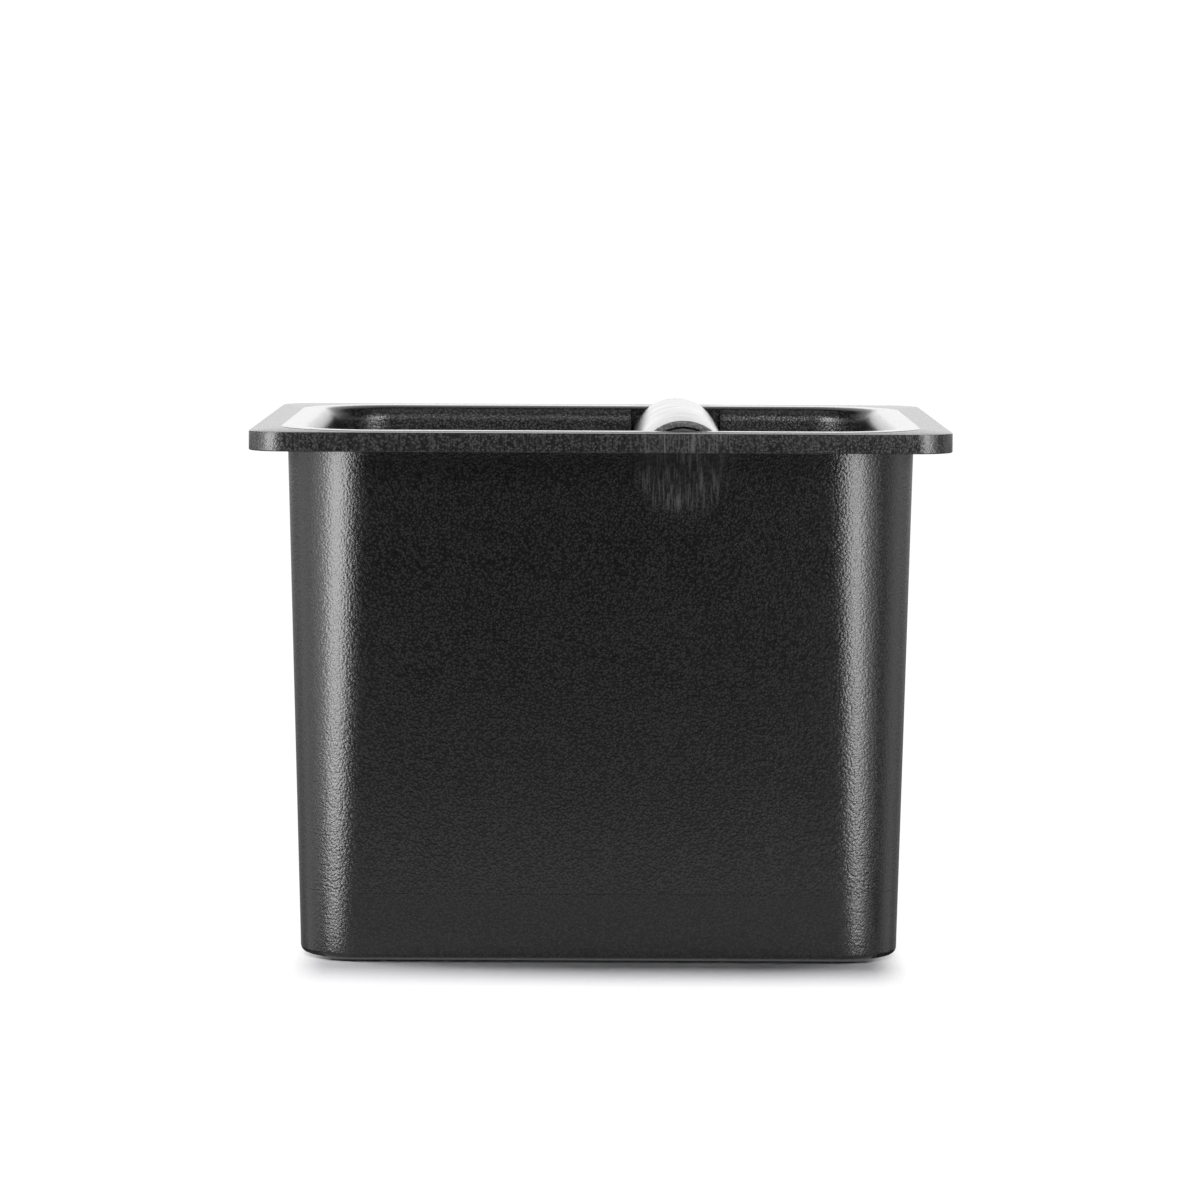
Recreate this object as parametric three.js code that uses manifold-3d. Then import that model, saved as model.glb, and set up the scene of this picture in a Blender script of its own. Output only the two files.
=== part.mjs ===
// Espresso knock box: a deep moulded tub with a wide flange, a rubber-covered
// knock bar that lies in two cradles of the tub's long walls, and four rubber feet.
//
// Millimetres, +Z up. The origin is on the surface the box stands on, under the
// middle of the tub. X runs along the long side and -Y is the front.

import * as THREE from 'three';
import * as BufferGeometryUtils from 'three/addons/utils/BufferGeometryUtils.js';
import Module from 'manifold-3d';

// ---- Driving dimensions -----------------------------------------------------

const RIM_HEIGHT = 153;            // from the standing surface to the top of the flange
const FLANGE = { x: 200, y: 175, corner: 11, thickness: 5.6 };
const FLANGE_EDGE = { top: 0.15, bottom: 0.35 };        // rounding of the flange's edges
const LAND = { inset: 7.7, corner: 28, height: 0.1 };    // raised flat around the opening

const FOOT_STAND_PROUD = 0.7;      // how far the feet lift the base off the surface
const BODY_INSET = 9.6;            // flange overhang beyond the body, just under the flange
const BODY_CORNER = { top: 26, base: 17.5 };  // corner radius of the body, tapering downwards
const BODY_DRAFT = 0.0268;         // inward slope of the outer walls, mm per mm of depth
const BASE_ROUND = 1.8;            // rounding between the outer walls and the base

const BIN_INSET = { x: 17.7, y: 18.3 };  // flange edge to inner wall, just under the lip
const BIN_CORNER = 18;             // vertical corner radius of the bin
const BIN_DRAFT = 0.0105;          // inward slope of the inner walls
const LIP_ROUND = 4.8;             // rounding from the flange's top into the bin
const FLOOR_THICKNESS = 6;
const FLOOR_ROUND = 9;             // rounding between the inner walls and the floor

const BAR = { x: 23.5, radius: 13.75, length: 141.6, axisBelowRim: 11, endRound: 0.4 };
const CRADLE_CLEARANCE = 0.3;      // between the bar and its cradles, all round
const CRADLE_BACK = 71.2;          // distance of each cradle's back wall from the middle

const TUBE = { radius: 11.6, wall: 1.5, endInset: 4.5 };
const PLUG = { recess: 0.8, stemLength: 14, stemWall: 2, edgeBevel: 0.6 };
const FIT_GAP = 0.3;               // between pieces that touch

const FOOT = { radius: 7, height: 2.2, x: 62, y: 50, edgeRound: 0.5 };

const CORNER_STEPS = 10;           // segments in each quarter of a rounded outline
const ROUND_STEPS = 6;             // segments in each rounded edge of the tub
const BAR_SEGMENTS = 48;           // sides of the sleeve and the cradles, all round
const CORE_SEGMENTS = 32;          // sides of the tube, the plugs and the feet

// ---- Derived places -----------------------------------------------------------

const BASE_Z = FOOT_STAND_PROUD;
const FLANGE_UNDERSIDE = RIM_HEIGHT - FLANGE.thickness;
const BAR_AXIS_Z = RIM_HEIGHT - BAR.axisBelowRim;
const SLEEVE_BORE = TUBE.radius + FIT_GAP;
const TUBE_END = BAR.length / 2 - TUBE.endInset;

// ---- Materials ------------------------------------------------------------------

function surface(color, roughness, metalness) {
  return new THREE.MeshStandardMaterial({ color, roughness, metalness });
}

const mouldedPlastic = surface(0x1c1c1d, 0.5, 0);
const barRubber = surface(0x2a2a2b, 0.6, 0);
const steel = surface(0xb4b6b8, 0.3, 1);
const plugPlastic = surface(0x242425, 0.5, 0);
const footRubber = surface(0x202020, 0.8, 0);

// ---- Boolean helpers --------------------------------------------------------------

const wasm = await Module();
wasm.setup();

function toSolid(geometry) {
  const bare = geometry.clone();
  bare.deleteAttribute('normal');
  bare.deleteAttribute('uv');
  const merged = BufferGeometryUtils.mergeVertices(bare, 1e-4);
  return new wasm.Manifold(new wasm.Mesh({
    numProp: 3,
    vertProperties: new Float32Array(merged.attributes.position.array),
    triVerts: new Uint32Array(merged.index.array),
  }));
}

function toGeometry(solid) {
  const mesh = solid.getMesh();
  const geometry = new THREE.BufferGeometry();
  geometry.setAttribute('position', new THREE.BufferAttribute(mesh.vertProperties, 3));
  geometry.setIndex(new THREE.BufferAttribute(mesh.triVerts, 1));
  geometry.computeVertexNormals();
  return geometry;
}

// ---- Lofted bodies with a rounded-rectangle section ---------------------------------

// The outline of one level: half sizes, corner radius and height.
function level(halfX, halfY, corner, z) {
  return { halfX, halfY, corner: Math.max(corner, 0.2), z };
}

function outlinePoints({ halfX, halfY, corner, z }) {
  const points = [];
  for (let quarter = 0; quarter < 4; quarter += 1) {
    const signX = quarter === 0 || quarter === 3 ? 1 : -1;
    const signY = quarter < 2 ? 1 : -1;
    for (let step = 0; step <= CORNER_STEPS; step += 1) {
      const angle = (quarter + step / CORNER_STEPS) * Math.PI / 2;
      const x = signX * (halfX - corner) + corner * Math.cos(angle);
      const y = signY * (halfY - corner) + corner * Math.sin(angle);
      points.push(new THREE.Vector3(x, y, z));
    }
  }
  return points;
}

// Skins a stack of levels, lowest first, into one closed body.
function loft(levels) {
  const rings = levels.map(outlinePoints);
  const count = rings[0].length;
  const positions = rings.flat().flatMap((point) => point.toArray());
  const index = [];
  for (let ring = 0; ring + 1 < rings.length; ring += 1) {
    for (let side = 0; side < count; side += 1) {
      const next = (side + 1) % count;
      const low = ring * count;
      const high = low + count;
      index.push(low + side, low + next, high + next);
      index.push(low + side, high + next, high + side);
    }
  }
  const top = (rings.length - 1) * count;
  for (let side = 1; side + 1 < count; side += 1) {
    index.push(0, side + 1, side);
    index.push(top, top + side, top + side + 1);
  }
  const geometry = new THREE.BufferGeometry();
  geometry.setAttribute('position', new THREE.Float32BufferAttribute(positions, 3));
  geometry.setIndex(index);
  return geometry;
}

// Angles from 0 to a quarter turn, for a rounded edge.
function quarterTurn(steps) {
  return Array.from({ length: steps + 1 }, (_, step) => (step / steps) * Math.PI / 2);
}

// ---- Tub ------------------------------------------------------------------------------

// Half sizes of the outer walls at a height, following the draft.
function bodyLevel(z, inset = 0) {
  const depth = FLANGE_UNDERSIDE - z;
  const inward = BODY_INSET + depth * BODY_DRAFT + inset;
  const taper = (BODY_CORNER.top - BODY_CORNER.base) / (FLANGE_UNDERSIDE - BASE_Z);
  const corner = BODY_CORNER.top - depth * taper - inset;
  return level(FLANGE.x / 2 - inward, FLANGE.y / 2 - inward, corner, z);
}

function tubBody() {
  const base = quarterTurn(ROUND_STEPS).map((angle) => {
    const z = BASE_Z + BASE_ROUND * (1 - Math.sin(angle));
    return bodyLevel(z, BASE_ROUND * (1 - Math.cos(angle)));
  });
  const overlapWithFlange = 2;
  return loft([...base.reverse(), bodyLevel(FLANGE_UNDERSIDE + overlapWithFlange)]);
}

function flangeLevel(inset, corner, z) {
  return level(FLANGE.x / 2 - inset, FLANGE.y / 2 - inset, corner, z);
}

function flangePlate() {
  const top = RIM_HEIGHT - LAND.height;
  const at = (inset, z) => flangeLevel(inset, FLANGE.corner - inset, z);
  const middleOfRound = 1 - Math.SQRT1_2;
  return loft([
    at(FLANGE_EDGE.bottom, FLANGE_UNDERSIDE),
    at(FLANGE_EDGE.bottom * middleOfRound, FLANGE_UNDERSIDE + FLANGE_EDGE.bottom * middleOfRound),
    at(0, FLANGE_UNDERSIDE + FLANGE_EDGE.bottom),
    at(0, top - FLANGE_EDGE.top),
    at(FLANGE_EDGE.top, top),
  ]);
}

function flangeLand() {
  const bottom = flangeLevel(LAND.inset, LAND.corner, RIM_HEIGHT - FLANGE.thickness / 2);
  const top = flangeLevel(LAND.inset + LAND.height, LAND.corner, RIM_HEIGHT);
  return loft([bottom, { ...bottom, z: RIM_HEIGHT - LAND.height }, top]);
}

// The hollow of the bin, from its rounded floor to its rounded lip.
function binHollow() {
  const lipBottom = RIM_HEIGHT - LIP_ROUND;
  const floorZ = BASE_Z + FLOOR_THICKNESS;
  const wall = (z, inset, corner) => {
    const slope = Math.max(lipBottom - z, 0) * BIN_DRAFT;
    return level(
      FLANGE.x / 2 - BIN_INSET.x - slope - inset,
      FLANGE.y / 2 - BIN_INSET.y - slope - inset,
      corner,
      z,
    );
  };
  const floor = quarterTurn(ROUND_STEPS).map((angle) => {
    const inset = FLOOR_ROUND * (1 - Math.sin(angle));
    return wall(floorZ + FLOOR_ROUND * (1 - Math.cos(angle)), inset, BIN_CORNER - inset);
  });
  const lip = quarterTurn(ROUND_STEPS).map((angle) => {
    const outset = LIP_ROUND * (1 - Math.cos(angle));
    return wall(lipBottom + LIP_ROUND * Math.sin(angle), -outset, BIN_CORNER + outset);
  });
  const above = { ...lip[lip.length - 1], z: RIM_HEIGHT + 5 };
  return loft([...floor, ...lip, above]);
}

// One U-shaped groove along Y that is open at the top, cut into both long walls.
function cradleCut() {
  const radius = BAR.radius + CRADLE_CLEARANCE;
  const shape = new THREE.Shape();
  shape.moveTo(radius, RIM_HEIGHT + 5);
  shape.lineTo(-radius, RIM_HEIGHT + 5);
  shape.lineTo(-radius, BAR_AXIS_Z);
  shape.absarc(0, BAR_AXIS_Z, radius, Math.PI, 2 * Math.PI, false);
  shape.closePath();
  const geometry = new THREE.ExtrudeGeometry(shape, {
    depth: 2 * CRADLE_BACK,
    bevelEnabled: false,
    curveSegments: BAR_SEGMENTS / 2,
  });
  geometry.rotateX(Math.PI / 2);
  geometry.translate(BAR.x, CRADLE_BACK, 0);
  return geometry;
}

// A turned body standing on z = 0, from its profile of [radius, height] points.
function turned(profile, segments) {
  const points = profile.map(([radius, height]) => new THREE.Vector2(radius, height));
  const geometry = new THREE.LatheGeometry(points, segments);
  geometry.rotateX(Math.PI / 2);
  return geometry;
}

// ---- Feet -----------------------------------------------------------------------------

const FOOT_RECESS = { radius: FOOT.radius + FIT_GAP, depth: FOOT.height - FOOT_STAND_PROUD + FIT_GAP };

const footPlaces = [
  ['foot_front_left', -1, -1],
  ['foot_front_right', 1, -1],
  ['foot_rear_left', -1, 1],
  ['foot_rear_right', 1, 1],
].map(([name, sideX, sideY]) => ({ name, x: sideX * FOOT.x, y: sideY * FOOT.y }));

function footGeometry() {
  const { radius, height, edgeRound } = FOOT;
  return turned([
    [0, 0],
    [radius - edgeRound, 0],
    [radius, edgeRound],
    [radius, height],
    [0, height],
  ], CORE_SEGMENTS);
}

function footRecess(place) {
  const { radius, depth } = FOOT_RECESS;
  const profile = [[0, -1], [radius, -1], [radius, depth], [0, depth]];
  const geometry = turned(profile, CORE_SEGMENTS);
  geometry.translate(place.x, place.y, BASE_Z);
  return geometry;
}

function tubGeometry() {
  const shell = toSolid(tubBody()).add(toSolid(flangePlate())).add(toSolid(flangeLand()));
  const cuts = [binHollow(), cradleCut(), ...footPlaces.map(footRecess)];
  return toGeometry(cuts.reduce((solid, cut) => solid.subtract(toSolid(cut)), shell));
}

// ---- Knock bar ------------------------------------------------------------------------

// A turned piece of the bar: its profile's heights run along the bar, from its middle.
function alongBar(profile, segments) {
  const geometry = turned(profile, segments);
  geometry.rotateX(Math.PI / 2);
  return geometry;
}

function sleeveGeometry() {
  const half = BAR.length / 2;
  const { radius, endRound } = BAR;
  const round = quarterTurn(4).map((angle) => [
    radius - endRound * (1 - Math.cos(angle)),
    half - endRound * (1 - Math.sin(angle)),
  ]);
  const mirrored = round.map(([r, y]) => [r, -y]).reverse();
  return alongBar([
    [SLEEVE_BORE, -half],
    ...mirrored,
    ...round,
    [SLEEVE_BORE, half],
    [SLEEVE_BORE, -half],
  ], BAR_SEGMENTS);
}

function coreTubeGeometry() {
  const inner = TUBE.radius - TUBE.wall;
  return alongBar([
    [inner, -TUBE_END],
    [TUBE.radius, -TUBE_END],
    [TUBE.radius, TUBE_END],
    [inner, TUBE_END],
    [inner, -TUBE_END],
  ], CORE_SEGMENTS);
}

// A cup-shaped plug closes the tube: its head covers the tube's end inside the sleeve,
// a little below the sleeve's end, and its hollow stem sits in the tube.
function endPlugGeometry() {
  const { recess, stemLength, stemWall, edgeBevel } = PLUG;
  const face = BAR.length / 2 - recess;
  const shoulder = TUBE_END + FIT_GAP;
  const tip = shoulder - stemLength;
  const stem = TUBE.radius - TUBE.wall - FIT_GAP;
  return alongBar([
    [0, shoulder],
    [stem - stemWall, shoulder],
    [stem - stemWall, tip],
    [stem - edgeBevel, tip],
    [stem, tip + edgeBevel],
    [stem, shoulder],
    [TUBE.radius, shoulder],
    [TUBE.radius, face - edgeBevel],
    [TUBE.radius - edgeBevel, face],
    [0, face],
  ], CORE_SEGMENTS);
}

// ---- Assembly -------------------------------------------------------------------------

function piece(name, geometry, material) {
  const mesh = new THREE.Mesh(geometry, material);
  mesh.name = name;
  return mesh;
}

const knockBox = new THREE.Group();
knockBox.add(piece('tub', tubGeometry(), mouldedPlastic));

for (const place of footPlaces) {
  const foot = piece(place.name, footGeometry(), footRubber);
  foot.position.set(place.x, place.y, 0);
  knockBox.add(foot);
}

const knockBar = new THREE.Group();
knockBar.position.set(BAR.x, 0, BAR_AXIS_Z);
knockBar.add(piece('bar_rubber_sleeve', sleeveGeometry(), barRubber));
knockBar.add(piece('bar_core_tube', coreTubeGeometry(), steel));

const rearPlug = piece('bar_end_plug_rear', endPlugGeometry(), plugPlastic);
const frontPlug = piece('bar_end_plug_front', endPlugGeometry(), plugPlastic);
rearPlug.rotation.z = Math.PI;
knockBar.add(rearPlug, frontPlug);
knockBox.add(knockBar);

export default knockBox;
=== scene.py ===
"""Looks of the espresso knock box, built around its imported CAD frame.

Metres, +Z up, -Y is the front. The tub, the knock bar's pieces and the feet are each
rebuilt as a fine mesh on their CAD body, with procedural materials.
"""

import math

import bmesh
import bpy
from mathutils import Matrix, Vector


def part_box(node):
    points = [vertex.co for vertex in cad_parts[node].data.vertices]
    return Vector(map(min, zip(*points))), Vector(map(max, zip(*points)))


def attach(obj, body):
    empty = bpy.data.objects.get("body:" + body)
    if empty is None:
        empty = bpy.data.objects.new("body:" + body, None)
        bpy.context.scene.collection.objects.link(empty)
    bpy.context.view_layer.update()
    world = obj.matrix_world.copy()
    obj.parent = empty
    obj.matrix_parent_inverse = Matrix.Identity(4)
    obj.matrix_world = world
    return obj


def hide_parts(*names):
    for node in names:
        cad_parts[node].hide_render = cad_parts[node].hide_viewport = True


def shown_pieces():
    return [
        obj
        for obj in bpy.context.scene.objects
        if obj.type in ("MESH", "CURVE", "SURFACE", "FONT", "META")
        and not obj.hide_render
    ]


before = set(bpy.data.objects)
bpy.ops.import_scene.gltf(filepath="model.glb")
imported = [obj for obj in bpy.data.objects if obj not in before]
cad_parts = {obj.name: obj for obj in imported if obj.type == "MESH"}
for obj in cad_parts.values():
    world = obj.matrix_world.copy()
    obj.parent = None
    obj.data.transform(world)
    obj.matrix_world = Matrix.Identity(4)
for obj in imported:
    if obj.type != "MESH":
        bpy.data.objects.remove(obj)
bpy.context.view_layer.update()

MM = 0.001

# ---- Places and sizes taken from the frame ----------------------------------------

tub_low, tub_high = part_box("tub")
sleeve_low, sleeve_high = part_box("bar_rubber_sleeve")
tube_low, tube_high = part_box("bar_core_tube")
plug_low, plug_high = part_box("bar_end_plug_front")
FEET = ("foot_front_left", "foot_front_right", "foot_rear_left", "foot_rear_right")

HALF_X = tub_high.x                     # flange half sizes
HALF_Y = tub_high.y
RIM_Z = tub_high.z
BASE_Z = tub_low.z
BAR_X = (sleeve_low.x + sleeve_high.x) / 2
BAR_Z = (sleeve_low.z + sleeve_high.z) / 2
BAR_R = (sleeve_high.x - sleeve_low.x) / 2
BAR_HALF = sleeve_high.y
TUBE_R = (tube_high.x - tube_low.x) / 2

# ---- Shape details, the same as the CAD part's --------------------------------------

FLANGE_CORNER = 11 * MM
FLANGE_THICKNESS = 5.6 * MM
FLANGE_TOP_EDGE = 0.15 * MM
FLANGE_BOTTOM_EDGE = 0.35 * MM
LAND_INSET = 7.7 * MM
LAND_CORNER = 28 * MM
LAND_HEIGHT = 0.1 * MM
BODY_INSET = 9.6 * MM
BODY_CORNER_TOP = 26 * MM               # the body's corners taper towards the base
BODY_CORNER_BASE = 17.5 * MM
BODY_DRAFT = 0.0268
BASE_ROUND = 1.8 * MM
BIN_INSET_X = 17.7 * MM
BIN_INSET_Y = 18.3 * MM
BIN_CORNER = 18 * MM
BIN_DRAFT = 0.0105
LIP_ROUND = 4.8 * MM
FLOOR_THICKNESS = 6 * MM
FLOOR_ROUND = 9 * MM
CRADLE_R = BAR_R + 0.3 * MM
CRADLE_BACK = 71.2 * MM                 # from the middle to each cradle's end wall
FIT_GAP = 0.3 * MM                      # between pieces that touch
TUBE_WALL = 1.5 * MM
PLUG_STEP = 1.8 * MM                    # from the plug's head in to its stem
PLUG_WALL = 2 * MM

UNDERSIDE_Z = RIM_Z - FLANGE_THICKNESS
LIP_BOTTOM_Z = RIM_Z - LIP_ROUND

# ---- Small details and cutters ---------------------------------------------------------
# The underside's fillet, the tube's rounded edges, the plugs' dish and the feet's hollow are
# in this model only; the CAD part has none of them.

UNDERSIDE_FILLET = 0.6 * MM             # between the outer walls and the flange
SMALLEST_CORNER = 0.2 * MM
SLEEVE_EDGE = 0.4 * MM
TUBE_EDGE = 0.3 * MM
PLUG_EDGE = 0.5 * MM
PLUG_DISH_DEPTH = 0.5 * MM
PLUG_DISH = (0.55, 0.5)                 # rim and flat of the dish, as parts of the radius
FOOT_EDGE = 0.5 * MM
FOOT_HOLLOW_DEPTH = 0.15 * MM
FOOT_HOLLOW = (0.6, 0.66)               # flat and rim of the hollow, as parts of the radius
CRADLE_CUT_ABOVE = 5 * MM               # the cutters reach this far past the tub
FOOT_CUT_BELOW = 2 * MM

CORNER_STEPS = 20
SIDE_STEPS_X = 24
SIDE_STEPS_Y = 20
WALL_STEPS = 24


# ---- Mesh helpers --------------------------------------------------------------------

def quarter(steps):
    """Angles from 0 to a quarter turn."""
    return [step / steps * math.pi / 2 for step in range(steps + 1)]


def outline(half_x, half_y, corner, z):
    """A rounded rectangle at height z, with the same number of points at every size."""
    corner = max(corner, SMALLEST_CORNER)
    straight_x = half_x - corner
    straight_y = half_y - corner
    points = []
    centres = ((1, 1), (-1, 1), (-1, -1), (1, -1))
    for number, (side_x, side_y) in enumerate(centres):
        centre = Vector((side_x * straight_x, side_y * straight_y, z))
        for angle in quarter(CORNER_STEPS):
            turn = angle + number * math.pi / 2
            points.append(centre + corner * Vector((math.cos(turn), math.sin(turn), 0)))
        following = centres[(number + 1) % 4]
        steps = SIDE_STEPS_X if number % 2 == 0 else SIDE_STEPS_Y
        start = points[-1]
        turn = (number + 1) * math.pi / 2
        end = Vector((following[0] * straight_x, following[1] * straight_y, z))
        end += corner * Vector((math.cos(turn), math.sin(turn), 0))
        points += [start.lerp(end, step / steps) for step in range(1, steps)]
    return points


def new_object(name, bm, sharp_angle=35):
    """A smooth-shaded object, with edges sharper than sharp_angle kept crisp."""
    bmesh.ops.recalc_face_normals(bm, faces=bm.faces)
    limit = math.radians(sharp_angle)
    for face in bm.faces:
        face.smooth = True
    for edge in bm.edges:
        edge.smooth = len(edge.link_faces) == 2 and edge.calc_face_angle(0) < limit
    mesh = bpy.data.meshes.new(name)
    bm.to_mesh(mesh)
    bm.free()
    obj = bpy.data.objects.new(name, mesh)
    bpy.context.scene.collection.objects.link(obj)
    return obj


def loft(name, rings):
    """A closed body through a stack of equal rings, capped with fans at both ends."""
    bm = bmesh.new()
    rows = [[bm.verts.new(point) for point in ring] for ring in rings]
    count = len(rows[0])
    for low, high in zip(rows, rows[1:]):
        for i in range(count):
            j = (i + 1) % count
            bm.faces.new((low[i], low[j], high[j], high[i]))
    for row in (rows[0], rows[-1]):
        bm.faces.new(row)
    return new_object(name, bm)


def lathe(name, profile, centre, along, segments=96, sharp_angle=35):
    """Turns a profile of (radius, height) points about the axis along, through centre.

    A profile that starts on the axis also ends there; any other one is a closed loop."""
    frame_turn = Vector((0, 0, 1)).rotation_difference(Vector(along)).to_matrix().to_4x4()
    place = Matrix.Translation(centre) @ frame_turn
    bm = bmesh.new()
    rows = []
    for radius, height in profile:
        if radius < 1e-7:
            rows.append([bm.verts.new(place @ Vector((0, 0, height)))])
            continue
        ring = []
        for i in range(segments):
            turn = 2 * math.pi * i / segments
            point = Vector((radius * math.cos(turn), radius * math.sin(turn), height))
            ring.append(bm.verts.new(place @ point))
        rows.append(ring)
    closed = rows + [rows[0]] if profile[0][0] > 1e-7 else rows
    for low, high in zip(closed, closed[1:]):
        for i in range(segments):
            j = (i + 1) % segments
            near = [low[i % len(low)], low[j % len(low)]]
            far = [high[j % len(high)], high[i % len(high)]]
            corners = list(dict.fromkeys(near + far))
            if len(corners) > 2:
                bm.faces.new(corners)
    return new_object(name, bm, sharp_angle)


def rounded(radius, corners, steps=5):
    """The profile with every corner but the first and the last replaced by a short curve."""
    smooth = [corners[0]]
    for before, corner, after in zip(corners, corners[1:], corners[2:]):
        point = Vector(corner)
        inward = Vector(before) - point
        outward = Vector(after) - point
        reach = min(radius, inward.length * 0.45, outward.length * 0.45)
        start = point + inward.normalized() * reach
        end = point + outward.normalized() * reach
        for step in range(steps + 1):
            t = step / steps
            mix = start * (1 - t) ** 2 + point * 2 * t * (1 - t) + end * t ** 2
            smooth.append((mix.x, mix.y))
    smooth.append(corners[-1])
    return smooth


# ---- Tub -----------------------------------------------------------------------------

def body_ring(z, inset=0.0):
    """The outer walls' outline at height z, moved inwards by inset."""
    depth = UNDERSIDE_Z - z
    inward = BODY_INSET + depth * BODY_DRAFT + inset
    taper = (BODY_CORNER_TOP - BODY_CORNER_BASE) / (UNDERSIDE_Z - BASE_Z)
    return outline(HALF_X - inward, HALF_Y - inward, BODY_CORNER_TOP - depth * taper - inset, z)


def flange_ring(inset, corner, z):
    """The flange's outline at height z, moved inwards by inset."""
    return outline(HALF_X - inset, HALF_Y - inset, corner, z)


def bin_ring(z, inset, corner):
    """The inner walls' outline at height z, moved inwards by inset."""
    slope = max(LIP_BOTTOM_Z - z, 0) * BIN_DRAFT
    inward = slope + inset
    return outline(HALF_X - BIN_INSET_X - inward, HALF_Y - BIN_INSET_Y - inward, corner, z)


def spread(start, end, steps):
    """Evenly spaced values after start, up to and including end."""
    return [start + (end - start) * step / steps for step in range(1, steps + 1)]


def outer_rings():
    """From the base, up the outer walls, round the flange's edge to the top of the land."""
    rings = []
    for angle in quarter(8):
        z = BASE_Z + BASE_ROUND * (1 - math.cos(angle))
        rings.append(body_ring(z, BASE_ROUND * (1 - math.sin(angle))))
    walls = spread(BASE_Z + BASE_ROUND, UNDERSIDE_Z - UNDERSIDE_FILLET, WALL_STEPS)
    rings += [body_ring(z) for z in walls]
    for angle in quarter(4)[1:]:
        z = UNDERSIDE_Z - UNDERSIDE_FILLET * (1 - math.sin(angle))
        rings.append(body_ring(z, -UNDERSIDE_FILLET * (1 - math.cos(angle))))
    edge = FLANGE_BOTTOM_EDGE
    for angle in quarter(5):
        inset = edge * (1 - math.sin(angle))
        z = UNDERSIDE_Z + edge * (1 - math.cos(angle))
        rings.append(flange_ring(inset, FLANGE_CORNER - inset, z))
    top = RIM_Z - LAND_HEIGHT
    edge = FLANGE_TOP_EDGE
    for angle in quarter(3):
        inset = edge * (1 - math.cos(angle))
        z = top - edge * (1 - math.sin(angle))
        rings.append(flange_ring(inset, FLANGE_CORNER - inset, z))
    step = LAND_HEIGHT
    for angle in quarter(3):
        inset = LAND_INSET - step * (1 - math.sin(angle)) * 0.5
        rings.append(flange_ring(inset, LAND_CORNER, top + step / 2 * (1 - math.cos(angle))))
    for angle in quarter(3):
        inset = LAND_INSET + step * (1 - math.cos(angle))
        rings.append(flange_ring(inset, LAND_CORNER, RIM_Z - step / 2 * (1 - math.sin(angle))))
    return rings


def inner_rings():
    """From the land over the lip, down the inner walls and round to the floor."""
    rings = []
    for angle in reversed(quarter(12)):
        outset = LIP_ROUND * (1 - math.cos(angle))
        z = LIP_BOTTOM_Z + LIP_ROUND * math.sin(angle)
        rings.append(bin_ring(z, -outset, BIN_CORNER + outset))
    floor_z = BASE_Z + FLOOR_THICKNESS
    walls = spread(LIP_BOTTOM_Z, floor_z + FLOOR_ROUND, WALL_STEPS)
    rings += [bin_ring(z, 0, BIN_CORNER) for z in walls]
    for angle in quarter(10)[1:]:
        inset = FLOOR_ROUND * (1 - math.cos(angle))
        z = floor_z + FLOOR_ROUND * (1 - math.sin(angle))
        rings.append(bin_ring(z, inset, BIN_CORNER - inset))
    return rings


def cradle_cutter():
    """The U-shaped groove along Y that leaves the bar's two cradles in the walls."""
    bm = bmesh.new()
    steps = 48
    top = RIM_Z + CRADLE_CUT_ABOVE - BAR_Z
    section = [(CRADLE_R, top), (-CRADLE_R, top)]
    for step in range(steps + 1):
        turn = math.pi + math.pi * step / steps
        section.append((CRADLE_R * math.cos(turn), CRADLE_R * math.sin(turn)))
    rows = []
    for y in (-CRADLE_BACK, CRADLE_BACK):
        rows.append([bm.verts.new((BAR_X + x, y, BAR_Z + z)) for x, z in section])
    bm.faces.new(rows[0])
    bm.faces.new(rows[1])
    count = len(section)
    for i in range(count):
        j = (i + 1) % count
        bm.faces.new((rows[0][i], rows[0][j], rows[1][j], rows[1][i]))
    return new_object("cradle_cutter", bm)


def foot_cutter(node):
    """The round recess in the base for one foot."""
    low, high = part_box(node)
    centre = Vector(((low.x + high.x) / 2, (low.y + high.y) / 2, BASE_Z))
    radius = (high.x - low.x) / 2 + FIT_GAP
    depth = high.z + FIT_GAP - BASE_Z
    profile = [(0, -FOOT_CUT_BELOW), (radius, -FOOT_CUT_BELOW), (radius, depth), (0, depth)]
    return lathe("foot_cutter", profile, centre, (0, 0, 1), 64)


def cut(obj, cutters):
    """Subtracts the cutters from obj for good and throws the cutters away."""
    for cutter in cutters:
        modifier = obj.modifiers.new("cut", "BOOLEAN")
        modifier.operation = "DIFFERENCE"
        modifier.solver = "EXACT"
        modifier.object = cutter
    depsgraph = bpy.context.evaluated_depsgraph_get()
    finished = bpy.data.meshes.new_from_object(obj.evaluated_get(depsgraph))
    bm = bmesh.new()
    bm.from_mesh(finished)
    name = obj.name
    for used in [obj, *cutters]:
        bpy.data.objects.remove(used)
    return new_object(name, bm)


def build_tub():
    shell = loft("tub_moulding", outer_rings() + inner_rings())
    return cut(shell, [cradle_cutter()] + [foot_cutter(node) for node in FEET])


# ---- Knock bar -------------------------------------------------------------------------

def bar_centre():
    return Vector((BAR_X, 0, BAR_Z))


def build_sleeve():
    bore = TUBE_R + FIT_GAP
    corners = [
        (bore, 0),
        (bore, -BAR_HALF),
        (BAR_R, -BAR_HALF),
        (BAR_R, 0),
        (BAR_R, BAR_HALF),
        (bore, BAR_HALF),
        (bore, 0),
    ]
    profile = rounded(SLEEVE_EDGE, corners, 4)[:-1]
    return lathe("knock_bar_rubber", profile, bar_centre(), (0, 1, 0), 128)


def build_tube():
    inner = TUBE_R - TUBE_WALL
    half = tube_high.y
    corners = [
        (inner, 0),
        (inner, -half),
        (TUBE_R, -half),
        (TUBE_R, half),
        (inner, half),
        (inner, 0),
    ]
    profile = rounded(TUBE_EDGE, corners, 3)[:-1]
    return lathe("knock_bar_tube", profile, bar_centre(), (0, 1, 0), 96)


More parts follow.
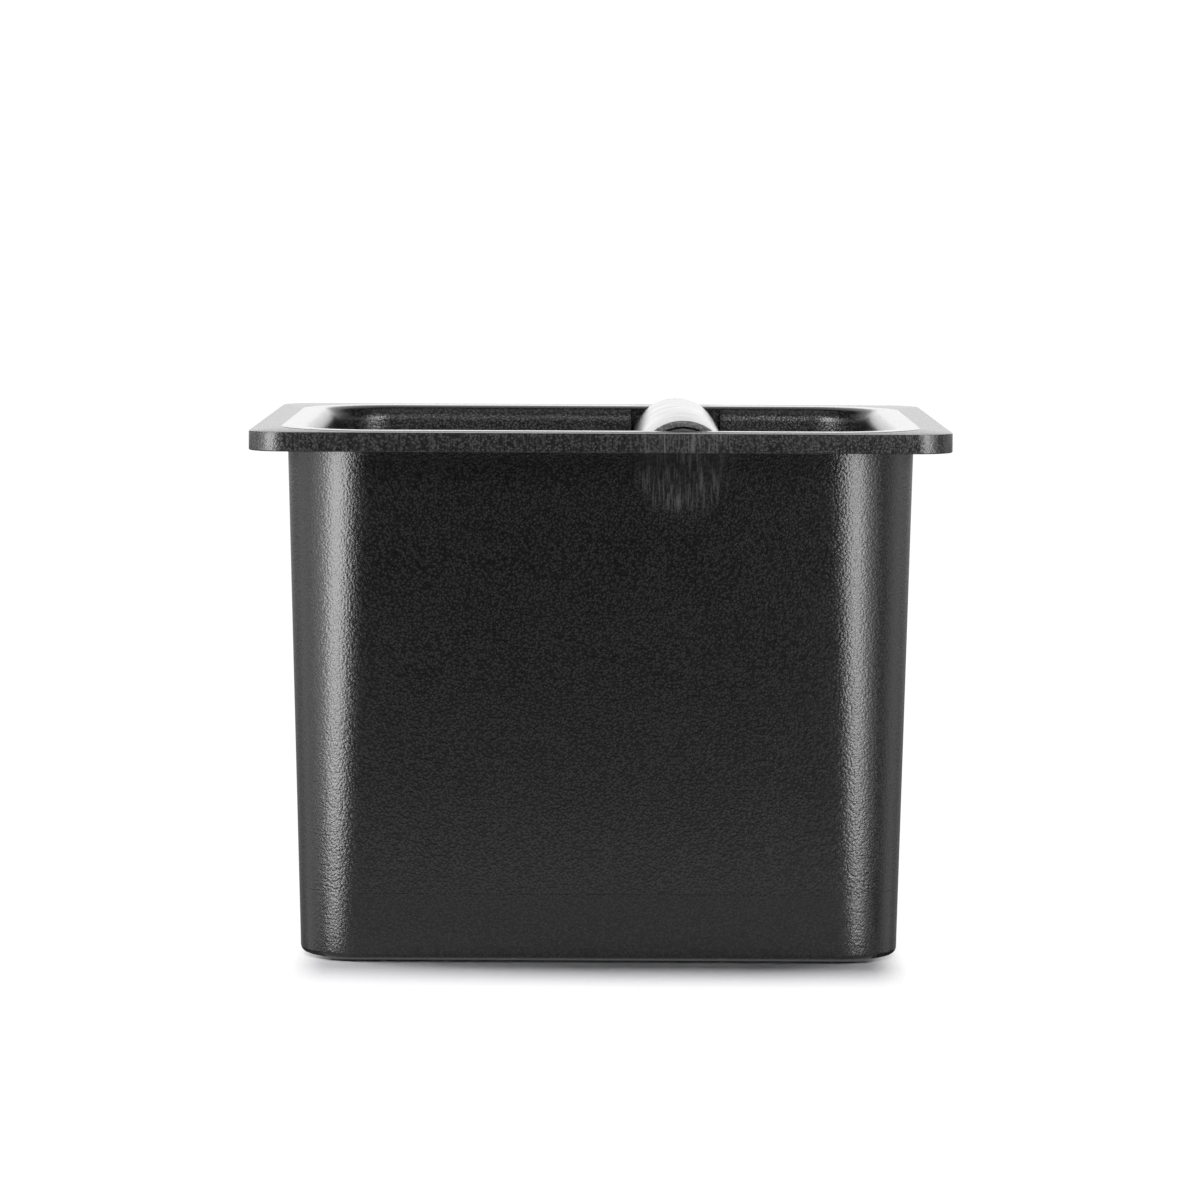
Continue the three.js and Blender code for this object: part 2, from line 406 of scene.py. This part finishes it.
def build_plug(name, side):
    """A cup-shaped end plug; side is -1 at the front and 1 at the rear."""
    radius = (plug_high.x - plug_low.x) / 2
    face = -plug_low.y
    tip = -plug_high.y
    shoulder = tube_high.y + FIT_GAP
    stem = radius - PLUG_STEP
    dish_rim, dish_flat = PLUG_DISH
    corners = [
        (0, shoulder),
        (stem - PLUG_WALL, shoulder),
        (stem - PLUG_WALL, tip),
        (stem, tip),
        (stem, shoulder),
        (radius, shoulder),
        (radius, face),
        (radius * dish_rim, face),
        (radius * dish_flat, face - PLUG_DISH_DEPTH),
        (0, face - PLUG_DISH_DEPTH),
    ]
    profile = rounded(PLUG_EDGE, corners, 4)
    return lathe(name, profile, bar_centre(), (0, side, 0), 96)


def build_foot(node):
    """A round rubber foot with a shallow hollow in its standing face."""
    low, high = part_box(node)
    centre = Vector(((low.x + high.x) / 2, (low.y + high.y) / 2, 0))
    radius = (high.x - low.x) / 2
    hollow_flat, hollow_rim = FOOT_HOLLOW
    corners = [
        (0, FOOT_HOLLOW_DEPTH),
        (radius * hollow_flat, FOOT_HOLLOW_DEPTH),
        (radius * hollow_rim, 0),
        (radius, 0),
        (radius, high.z),
        (0, high.z),
    ]
    return lathe(node + "_rubber", rounded(FOOT_EDGE, corners, 4), centre, (0, 0, 1), 64)


# ---- Materials ---------------------------------------------------------------------------

# Texture scales are in features to the metre, so 1000 gives features of about 1 mm.
PEBBLE_SCALE = 1350
FINE_SPECK_SCALE = 3200
TOOL_MARK_SCALE = 1700
TUB_PATCH_SCALE = 60
RUBBER_SPECK_SCALE = 1900
RUBBER_PATCH_SCALE = 90
GROUND_MARK_SCALE = 700
PLUG_SPECK_SCALE = 2400
DRAWN_LINE_SCALE = 1400
NOISE_SPAN = (0.3, 0.7)                 # most of a noise texture's values lie in here

# The plastic's relief: its strength, and the depth of each pattern in metres.
GRAIN = 0.36
LOW_GRAIN = 0.7                         # part of the grain's strength left below the line
GRAIN_DEPTH = 0.2 * MM
SPECK_DEPTH = 0.03 * MM
TOOL_MARK_DEPTH = 0.05 * MM
LINE_DEPTH = 0.05 * MM

# Where the plastic changes.
WITNESS_Z = 20 * MM                     # a mould witness line; the grain is shallower below it
WITNESS_HALF = 0.1 * MM
WITNESS_SOFT = 0.3 * MM
TOP_START_Z = RIM_Z - 3.0 * MM
TOP_FULL_Z = RIM_Z - 1.5 * MM
LAND_SOFT = 0.1 * MM
EDGE_REACH = (-0.15 * MM, -0.1 * MM)    # the flange's upright edge starts this far inside it
EDGE_TOP_Z = (RIM_Z - 0.35 * MM, RIM_Z - 0.25 * MM)
BIN_FADE = (1.0 * MM, 3.4 * MM)         # outside the inner walls, on the lip
BIN_BOTTOM_Z = (BASE_Z + 2 * MM, BASE_Z + 3 * MM)
MARK_RADII = (10.0 * MM, 15.0 * MM)     # the tool marks fade out between these, round the bar's end
MARK_Y = (74 * MM, 75 * MM)             # and lie on the walls beyond here

# Greys of the plastic, in the hollows and on the crests of its grain. The moulding is one
# colour; each region's greys are set so that its tone agrees with the photo. The inner walls'
# and the flange edge's greys are painted lighter than the walls', as painted light.
WALL_GREYS = (0.0, 0.0048)
LOW_WALL_GREY = 0.0035
BIN_PAINTED_LIGHT_GREYS = (0.001, 0.021)
EDGE_PAINTED_LIGHT_GREYS = (0.0, 0.0125)
TOOL_MARK_GREY = 0.022
TINT_TO_BLUE = 1.03                     # plain greys are this much stronger in blue

# Roughness of the plastic's regions.
WALL_ROUGHNESS = (0.26, 0.28)
TOP_ROUGHNESS = 0.28
LAND_ROUGHNESS = 0.21
BIN_ROUGHNESS = (0.29, 0.32)
EDGE_ROUGHNESS = (0.3, 0.36)


class Nodes:
    """Short forms for building a node tree."""

    def __init__(self, tree):
        self.tree = tree

    def add(self, kind, **properties):
        node = self.tree.nodes.new(kind)
        for key, value in properties.items():
            setattr(node, key, value)
        return node

    def link(self, source, target):
        """Joins another node's output to the target, or sets it to a plain value."""
        if hasattr(source, "is_output"):
            self.tree.links.new(source, target)
        else:
            target.default_value = source

    def math(self, operation, *values):
        node = self.add("ShaderNodeMath", operation=operation)
        for value, socket in zip(values, node.inputs):
            self.link(value, socket)
        return node.outputs[0]

    def sum(self, *values):
        total = values[0]
        for value in values[1:]:
            total = self.math("ADD", total, value)
        return total

    def product(self, *values):
        total = values[0]
        for value in values[1:]:
            total = self.math("MULTIPLY", total, value)
        return total

    def axes(self, vector):
        split = self.add("ShaderNodeSeparateXYZ")
        self.link(vector, split.inputs[0])
        return split.outputs

    def ramp(self, factor, low, high, start=0.0, end=1.0, kind="LINEAR"):
        """Goes from low to high as factor goes from start to end."""
        node = self.add("ShaderNodeMapRange", interpolation_type=kind)
        self.link(factor, node.inputs["Value"])
        limits = {"From Min": start, "From Max": end, "To Min": low, "To Max": high}
        for socket, value in limits.items():
            self.link(value, node.inputs[socket])
        return node.outputs[0]

    def inside(self, value, low, high, soft):
        """1 where value is between low and high, falling to 0 over soft on either side."""
        rise = self.ramp(value, 0.0, 1.0, low - soft, low + soft, "SMOOTHSTEP")
        fall = self.ramp(value, 1.0, 0.0, high - soft, high + soft, "SMOOTHSTEP")
        return self.math("MULTIPLY", rise, fall)


class Surface(Nodes):
    """One material's node tree, with object coordinates and the usual textures."""

    def __init__(self, name, **constants):
        self.material = bpy.data.materials.new(name)
        self.material.use_nodes = True
        super().__init__(self.material.node_tree)
        self.shader = self.tree.nodes["Principled BSDF"]
        for socket, value in constants.items():
            self.shader.inputs[socket.replace("_", " ")].default_value = value
        self.coordinates = self.add("ShaderNodeTexCoord").outputs["Object"]
        self.x, self.y, self.z = self.axes(self.coordinates)

    def stretch(self, scale):
        node = self.add("ShaderNodeMapping")
        self.link(self.coordinates, node.inputs["Vector"])
        node.inputs["Scale"].default_value = scale
        return node.outputs["Vector"]

    def noise(self, scale, detail=2.0, roughness=0.5, vector=None):
        node = self.add("ShaderNodeTexNoise")
        self.link(vector or self.coordinates, node.inputs["Vector"])
        node.inputs["Scale"].default_value = scale
        node.inputs["Detail"].default_value = detail
        node.inputs["Roughness"].default_value = roughness
        return node.outputs["Fac"]

    def cells(self, scale, smoothness):
        node = self.add("ShaderNodeTexVoronoi", feature="SMOOTH_F1")
        self.link(self.coordinates, node.inputs["Vector"])
        node.inputs["Scale"].default_value = scale
        node.inputs["Smoothness"].default_value = smoothness
        return node.outputs["Distance"]

    def blend(self, factor, low, high):
        node = self.add("ShaderNodeMix", data_type="FLOAT")
        self.link(factor, node.inputs["Factor"])
        self.link(low, node.inputs[2])
        self.link(high, node.inputs[3])
        return node.outputs[0]

    def tint(self, factor, low, high):
        """Mixes two colours; each is a grey level, a colour or another node's output."""
        node = self.add("ShaderNodeMix", data_type="RGBA")
        self.link(factor, node.inputs["Factor"])
        for value, socket in ((low, node.inputs[6]), (high, node.inputs[7])):
            if isinstance(value, float):
                value = (value, value, value * TINT_TO_BLUE, 1)
            self.link(value, socket)
        return node.outputs[2]

    def bump(self, height, strength, distance, below=None):
        """Relief of the given height, on top of the relief below."""
        node = self.add("ShaderNodeBump")
        self.link(height, node.inputs["Height"])
        self.link(strength, node.inputs["Strength"])
        node.inputs["Distance"].default_value = distance
        if below is not None:
            self.link(below, node.inputs["Normal"])
        return node.outputs["Normal"]

    def outline_distance(self, half_x, half_y, corner):
        """Distance outside a rounded rectangle in X and Y; negative inside it."""
        over_x = self.math("SUBTRACT", self.math("ABSOLUTE", self.x), half_x - corner)
        over_y = self.math("SUBTRACT", self.math("ABSOLUTE", self.y), half_y - corner)
        past_x = self.math("POWER", self.math("MAXIMUM", over_x, 0.0), 2.0)
        past_y = self.math("POWER", self.math("MAXIMUM", over_y, 0.0), 2.0)
        past = self.math("SQRT", self.math("ADD", past_x, past_y))
        inside = self.math("MINIMUM", self.math("MAXIMUM", over_x, over_y), 0.0)
        return self.math("SUBTRACT", self.math("ADD", past, inside), corner)

    def finish(self, **sockets):
        for socket, value in sockets.items():
            self.link(value, self.shader.inputs[socket.replace("_", " ")])
        return self.material


def plastic_material():
    """Black moulded plastic with a pebbled grain, shallower near the base and on the land.
    Upright tool marks cross the flange's edge and the outside of each cradle. The inner walls and
    the flange's edge carry painted light: their greys are lighter than the outer walls'."""
    s = Surface("grained_black_plastic", IOR=1.42)
    near_top = s.ramp(s.z, 0.0, 1.0, TOP_START_Z, TOP_FULL_Z)
    land_outline = s.outline_distance(HALF_X - LAND_INSET, HALF_Y - LAND_INSET, LAND_CORNER)
    in_land = s.ramp(land_outline, 1.0, 0.0, -LAND_SOFT, LAND_SOFT)
    land = s.product(near_top, in_land)
    edge = s.product(
        s.ramp(s.outline_distance(HALF_X, HALF_Y, FLANGE_CORNER), 0.0, 1.0, *EDGE_REACH),
        s.ramp(s.z, 1.0, 0.0, *EDGE_TOP_Z),
    )
    bin_wall = s.outline_distance(HALF_X - BIN_INSET_X, HALF_Y - BIN_INSET_Y, BIN_CORNER)
    bin_side = s.product(
        s.ramp(bin_wall, 1.0, 0.0, *BIN_FADE),
        s.ramp(s.z, 0.0, 1.0, *BIN_BOTTOM_Z),
    )
    low_band = s.ramp(s.z, 1.0, 0.0, WITNESS_Z - WITNESS_SOFT, WITNESS_Z + WITNESS_SOFT)
    beside = s.math("POWER", s.math("SUBTRACT", s.x, BAR_X), 2.0)
    under = s.math("POWER", s.math("MINIMUM", s.math("SUBTRACT", s.z, BAR_Z), 0.0), 2.0)
    mark = s.product(
        s.ramp(s.math("SQRT", s.sum(beside, under)), 1.0, 0.0, *MARK_RADII),
        s.ramp(s.math("ABSOLUTE", s.y), 0.0, 1.0, *MARK_Y),
    )

    pebble = s.cells(PEBBLE_SCALE, 0.3)
    crest = s.math("POWER", s.ramp(pebble, 1.0, 0.0, 0.3, 0.6), 1.6)
    speck = s.noise(FINE_SPECK_SCALE, 2.0, 0.6)
    upright = s.noise(TOOL_MARK_SCALE, 3.0, 0.6, s.stretch((1.0, 1.0, 0.07)))
    patches = s.noise(TUB_PATCH_SCALE, 3.0, 0.6)
    grain = s.sum(s.product(pebble, -1.0), s.product(speck, 0.3))
    strength = s.product(
        s.ramp(low_band, GRAIN, LOW_GRAIN * GRAIN),
        s.ramp(near_top, 1.0, 0.6),
        s.ramp(land, 1.0, 0.2),
        s.ramp(mark, 1.0, 0.5),
    )
    relief = s.bump(grain, strength, GRAIN_DEPTH)
    relief = s.bump(speck, s.ramp(land, 0.5, 0.2), SPECK_DEPTH, relief)
    tooled = s.sum(s.product(edge, 0.15), s.product(mark, 0.5))
    relief = s.bump(upright, tooled, TOOL_MARK_DEPTH, relief)
    line = s.inside(s.z, WITNESS_Z - WITNESS_HALF, WITNESS_Z + WITNESS_HALF, WITNESS_HALF)
    relief = s.bump(s.product(line, -1.0), s.ramp(bin_side, 0.5, 0.0), LINE_DEPTH, relief)

    roughness = s.ramp(patches, *WALL_ROUGHNESS, *NOISE_SPAN)
    roughness = s.blend(near_top, roughness, s.blend(land, TOP_ROUGHNESS, LAND_ROUGHNESS))
    roughness = s.blend(bin_side, roughness, s.ramp(patches, *BIN_ROUGHNESS, *NOISE_SPAN))
    roughness = s.blend(edge, roughness, s.ramp(upright, *EDGE_ROUGHNESS, *NOISE_SPAN))
    speckled = s.ramp(speck, -0.04, 0.04, *NOISE_SPAN)
    roughness = s.sum(roughness, speckled, s.product(mark, 0.04))

    streak = s.ramp(upright, 0.0, 1.0, 0.5, 0.66)
    wall_hollow, wall_crest = WALL_GREYS
    colour = s.tint(crest, wall_hollow, s.tint(low_band, wall_crest, LOW_WALL_GREY))
    # Painted light: the inner walls' greys are lighter, standing in for light the lamps don't give
    # them.
    colour = s.tint(bin_side, colour, s.tint(crest, *BIN_PAINTED_LIGHT_GREYS))
    # Painted light: the flange edge's greys are lighter, standing in for the light that falls on
    # the edge.
    colour = s.tint(edge, colour, s.tint(crest, *EDGE_PAINTED_LIGHT_GREYS))
    marked = s.product(streak, s.sum(s.product(mark, 0.8), s.product(edge, 0.2)))
    colour = s.tint(marked, colour, TOOL_MARK_GREY)
    return s.finish(Base_Color=colour, Roughness=roughness, Normal=relief)


def bar_rubber_material():
    """Ground black rubber with faint marks round the bar; its moulded ends are duller, and their
    flecks are painted lighter, as painted light.
    """
    s = Surface("ground_bar_rubber", IOR=1.5)
    end = s.ramp(s.math("ABSOLUTE", s.y), 0.0, 1.0, BAR_HALF - 0.45 * MM, BAR_HALF - 0.2 * MM)
    patches = s.noise(RUBBER_PATCH_SCALE, 4.0, 0.6)
    speck = s.noise(RUBBER_SPECK_SCALE, 3.0, 0.6)
    around = s.noise(GROUND_MARK_SCALE, 2.0, 0.5, s.stretch((0.15, 1.0, 0.15)))
    height = s.sum(speck, s.product(around, 0.15))
    relief = s.bump(height, s.ramp(end, 0.14, 0.8), 0.03 * MM)
    shine = s.ramp(s.sum(patches, s.product(speck, 0.4)), 0.21, 0.25, 0.5, 0.9)
    flecks = s.ramp(speck, 0.0, 1.0, 0.4, 0.6)
    colour = s.tint(s.ramp(patches, 0.0, 1.0, 0.35, 0.65), 0.012, 0.02)
    # The ends' flecks are real texture, and their lighter greys are painted light on the end faces.
    colour = s.tint(end, colour, s.tint(flecks, 0.008, 0.05))
    return s.finish(Base_Color=colour, Roughness=s.blend(end, shine, 0.5), Normal=relief)


def foot_rubber_material():
    """Dull moulded rubber."""
    s = Surface("foot_rubber", IOR=1.5)
    patches = s.noise(RUBBER_PATCH_SCALE, 4.0, 0.6)
    speck = s.noise(RUBBER_SPECK_SCALE, 3.0, 0.6)
    colour = s.tint(s.ramp(patches, 0.0, 1.0, 0.35, 0.65), 0.01, 0.018)
    roughness = s.ramp(speck, 0.6, 0.75, *NOISE_SPAN)
    return s.finish(Base_Color=colour, Roughness=roughness, Normal=s.bump(speck, 0.4, 0.05 * MM))


def steel_material():
    """Drawn stainless tube, with fine lines along its length."""
    s = Surface("drawn_steel", Metallic=1.0)
    lines = s.noise(DRAWN_LINE_SCALE, 3.0, 0.6, s.stretch((1.0, 0.02, 1.0)))
    colour = s.tint(s.noise(60, 3.0), 0.5, 0.64)
    roughness = s.ramp(lines, 0.24, 0.4, *NOISE_SPAN)
    return s.finish(Base_Color=colour, Roughness=roughness, Normal=s.bump(lines, 0.25, 0.02 * MM))


def plug_material():
    """Dull black plug plastic with a fine mould texture."""
    s = Surface("dull_black_plastic", IOR=1.48)
    speck = s.noise(PLUG_SPECK_SCALE, 3.0, 0.6)
    colour = s.tint(s.ramp(speck, 0.0, 1.0, 0.4, 0.65), 0.004, 0.03)
    roughness = s.ramp(speck, 0.42, 0.6, *NOISE_SPAN)
    return s.finish(Base_Color=colour, Roughness=roughness, Normal=s.bump(speck, 0.35, 0.05 * MM))


# ---- Assembly -------------------------------------------------------------------------------

def finish_piece(obj, material, body, node):
    """Gives obj its material, and puts it on its body in place of the CAD node."""
    obj.data.materials.clear()
    obj.data.materials.append(material)
    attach(obj, body)
    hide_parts(node)


finish_piece(build_tub(), plastic_material(), "box", "tub")

finish_piece(build_sleeve(), bar_rubber_material(), "bar_cover", "bar_rubber_sleeve")
finish_piece(build_tube(), steel_material(), "bar_core", "bar_core_tube")

plug_plastic = plug_material()
for end, side in (("front", -1), ("rear", 1)):
    plug = build_plug(f"knock_bar_plug_{end}", side)
    finish_piece(plug, plug_plastic, "bar_cover", f"bar_end_plug_{end}")

foot_rubber = foot_rubber_material()
for node in FEET:
    finish_piece(build_foot(node), foot_rubber, "box", node)


# ---- Stage, lights and camera ------------------------------------------------------------------

BASE_INSET = 13.5 * MM                  # from the flange's edge in to the base's
BASE_X = HALF_X - BASE_INSET
BASE_Y = HALF_Y - BASE_INSET
FLOOR_RADIUS = 0.3
FADE_X = (-0.01, 0.004)                 # the floor fades out at these distances from the base
FADE_Y = (0.008, 0.07)

# Where the lights stand and what they light. Azimuth 0 is the camera's side and 180 is behind
# the object, in degrees. Each row: name, azimuth, elevation, distance from the target, width
# and height, power in watts, target.
OBJECT_LIGHTS = (
    ("left_strip", -50, 0, 0.5, (0.2, 0.48), 5.2, (0, 0, 0.19)),
    ("left_outer", -74, 0, 0.5, (0.10, 0.48), 0.6, (0, 0, 0.19)),
    ("left_high", -38, 30, 0.7, (0.18, 0.34), 3.6, (0, 0, 0.14)),
    ("left_side", -100, 2, 1.0, (0.6, 0.9), 2.3, (0, 0, 0.08)),
    ("right_strip", 40, 0, 0.5, (0.15, 0.48), 3.6, (0, 0, 0.19)),
    ("right_outer", 60, 0, 0.5, (0.12, 0.48), 0.5, (0, 0, 0.19)),
    ("right_high", 28, 30, 0.7, (0.16, 0.34), 2.9, (0, 0, 0.14)),
    ("right_side", 100, 2, 1.0, (0.6, 0.9), 1.9, (0, 0, 0.08)),
    ("front_high", 0, 34, 1.2, (1.2, 0.5), 0.9, (0, 0, 0.14)),
    ("over", 0, 86, 1.2, (1.0, 0.8), 1.8, (0, 0, 0.14)),
    ("base_front", 0, -90, 0.05, (0.24, 0.13), 0.05, (0, -0.135, 0.0508)),
    ("front_floor", 0, -90, 0.05, (0.7, 0.34), 0.5, (0, -0.3, 0.0508)),
)
FLOOR_LIGHTS = (
    ("floor_top", 180, 89, 1.3, (1.4, 0.32), 25, (-0.2, 0, 0)),
    ("under_box", 0, 90, 0.0003, (0.165, 0.14), 0.006, (0, 0, 0)),
)

# What the object sees around it: azimuth from and to, elevation from and to, strength. An
# azimuth is 0 to 180 on either side, so 400 leaves a zone open at the back.
SURROUND = (
    (156, 400, -2, 16, 1.9),
    (156, 400, 16, 60, 1.0),
    (118, 156, -2, 35, 1.0),
    (118, 400, -14, -2, 0.35),
)
ZONE_SOFTNESS = 4.0                     # each zone fades out over this many degrees
WHITE = 1.05                            # the surround's strength where the camera sees it

CAMERA_PLACE = (0, -1.4649, 0.2266)
CAMERA_DOWN = 5.012                     # degrees
CAMERA_ROLL = 0.253
CAMERA_LENS = 146.73                    # mm, on a sensor 36 mm wide
SENSOR_WIDTH = 36


def build_floor():
    """A plain pale disc that fades out round the base, so only the contact shadow shows."""
    bm = bmesh.new()
    bmesh.ops.create_circle(bm, cap_ends=True, segments=128, radius=FLOOR_RADIUS)
    floor = new_object("studio_floor", bm)
    s = Surface("pale_floor", Roughness=0.9)
    s.shader.inputs["Specular IOR Level"].default_value = 0.0
    beside = s.math("SUBTRACT", s.math("ABSOLUTE", s.x), BASE_X)
    before = s.math("SUBTRACT", s.math("ABSOLUTE", s.y), BASE_Y)
    across = s.ramp(beside, 1.0, 0.0, *FADE_X, "SMOOTHSTEP")
    along = s.ramp(before, 1.0, 0.0, *FADE_Y, "SMOOTHSTEP")
    seen = s.product(across, along)
    colour = s.tint(s.noise(3, 2.0), 0.84, 0.86)
    floor.data.materials.append(s.finish(Base_Color=colour, Alpha=seen))
    return floor


def softbox(name, azimuth, elevation, distance, size, power, target, lit, blockers):
    """A rectangular soft light aimed at target. It lights only the objects in lit, and only
    those in blockers cast its shadow."""
    a = math.radians(azimuth)
    e = math.radians(elevation)
    direction = Vector((math.sin(a) * math.cos(e), -math.cos(a) * math.cos(e), math.sin(e)))
    light = bpy.data.lights.new(name, "AREA")
    light.shape = "RECTANGLE"
    light.size, light.size_y = size
    light.energy = power
    lamp = bpy.data.objects.new(name, light)
    bpy.context.scene.collection.objects.link(lamp)
    lamp.location = Vector(target) + direction * distance
    lamp.rotation_euler = direction.to_track_quat("Z", "Y").to_euler()
    lamp.visible_camera = False
    lamp.light_linking.receiver_collection = lit
    lamp.light_linking.blocker_collection = blockers


def group(name, objects):
    collection = bpy.data.collections.new(name)
    for obj in objects:
        collection.objects.link(obj)
    return collection


def build_world():
    """Plain white when seen directly; as a light it is the zones of SURROUND."""
    world = bpy.data.worlds.new("studio")
    bpy.context.scene.world = world
    world.use_nodes = True
    n = Nodes(world.node_tree)
    x, y, z = n.axes(n.add("ShaderNodeTexCoord").outputs["Generated"])
    degrees = 180 / math.pi
    azimuth = n.product(n.math("ARCTAN2", n.math("ABSOLUTE", x), n.product(y, -1.0)), degrees)
    elevation = n.product(n.math("ARCSINE", z), degrees)
    light = 0.0
    for from_azimuth, to_azimuth, low, high, strength in SURROUND:
        round_it = n.inside(azimuth, from_azimuth, to_azimuth, ZONE_SOFTNESS)
        zone = n.product(round_it, n.inside(elevation, low, high, ZONE_SOFTNESS))
        light = n.sum(light, n.product(zone, strength))
    seen = n.add("ShaderNodeLightPath").outputs["Is Camera Ray"]
    background = world.node_tree.nodes["Background"]
    background.inputs["Color"].default_value = (1, 1, 1, 1)
    unseen = n.math("SUBTRACT", 1.0, seen)
    strength = n.sum(n.product(light, unseen), n.product(seen, WHITE))
    n.link(strength, background.inputs["Strength"])


def build_camera():
    data = bpy.data.cameras.new("camera")
    data.sensor_width = SENSOR_WIDTH
    data.lens = CAMERA_LENS
    camera = bpy.data.objects.new("camera", data)
    bpy.context.scene.collection.objects.link(camera)
    pitch = math.radians(90 - CAMERA_DOWN)
    roll = math.radians(CAMERA_ROLL)
    level = Matrix.Rotation(pitch, 4, "X") @ Matrix.Rotation(roll, 4, "Z")
    camera.matrix_world = Matrix.Translation(CAMERA_PLACE) @ level
    data.clip_start = 0.05
    data.clip_end = 60
    bpy.context.scene.camera = camera


pieces = group("lit_object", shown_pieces())
floor_only = group("lit_floor", [build_floor()])
for light in OBJECT_LIGHTS:
    softbox(*light, pieces, pieces)
for light in FLOOR_LIGHTS:
    softbox(*light, floor_only, pieces)
build_world()
build_camera()
bpy.context.scene.view_settings.view_transform = "Standard"
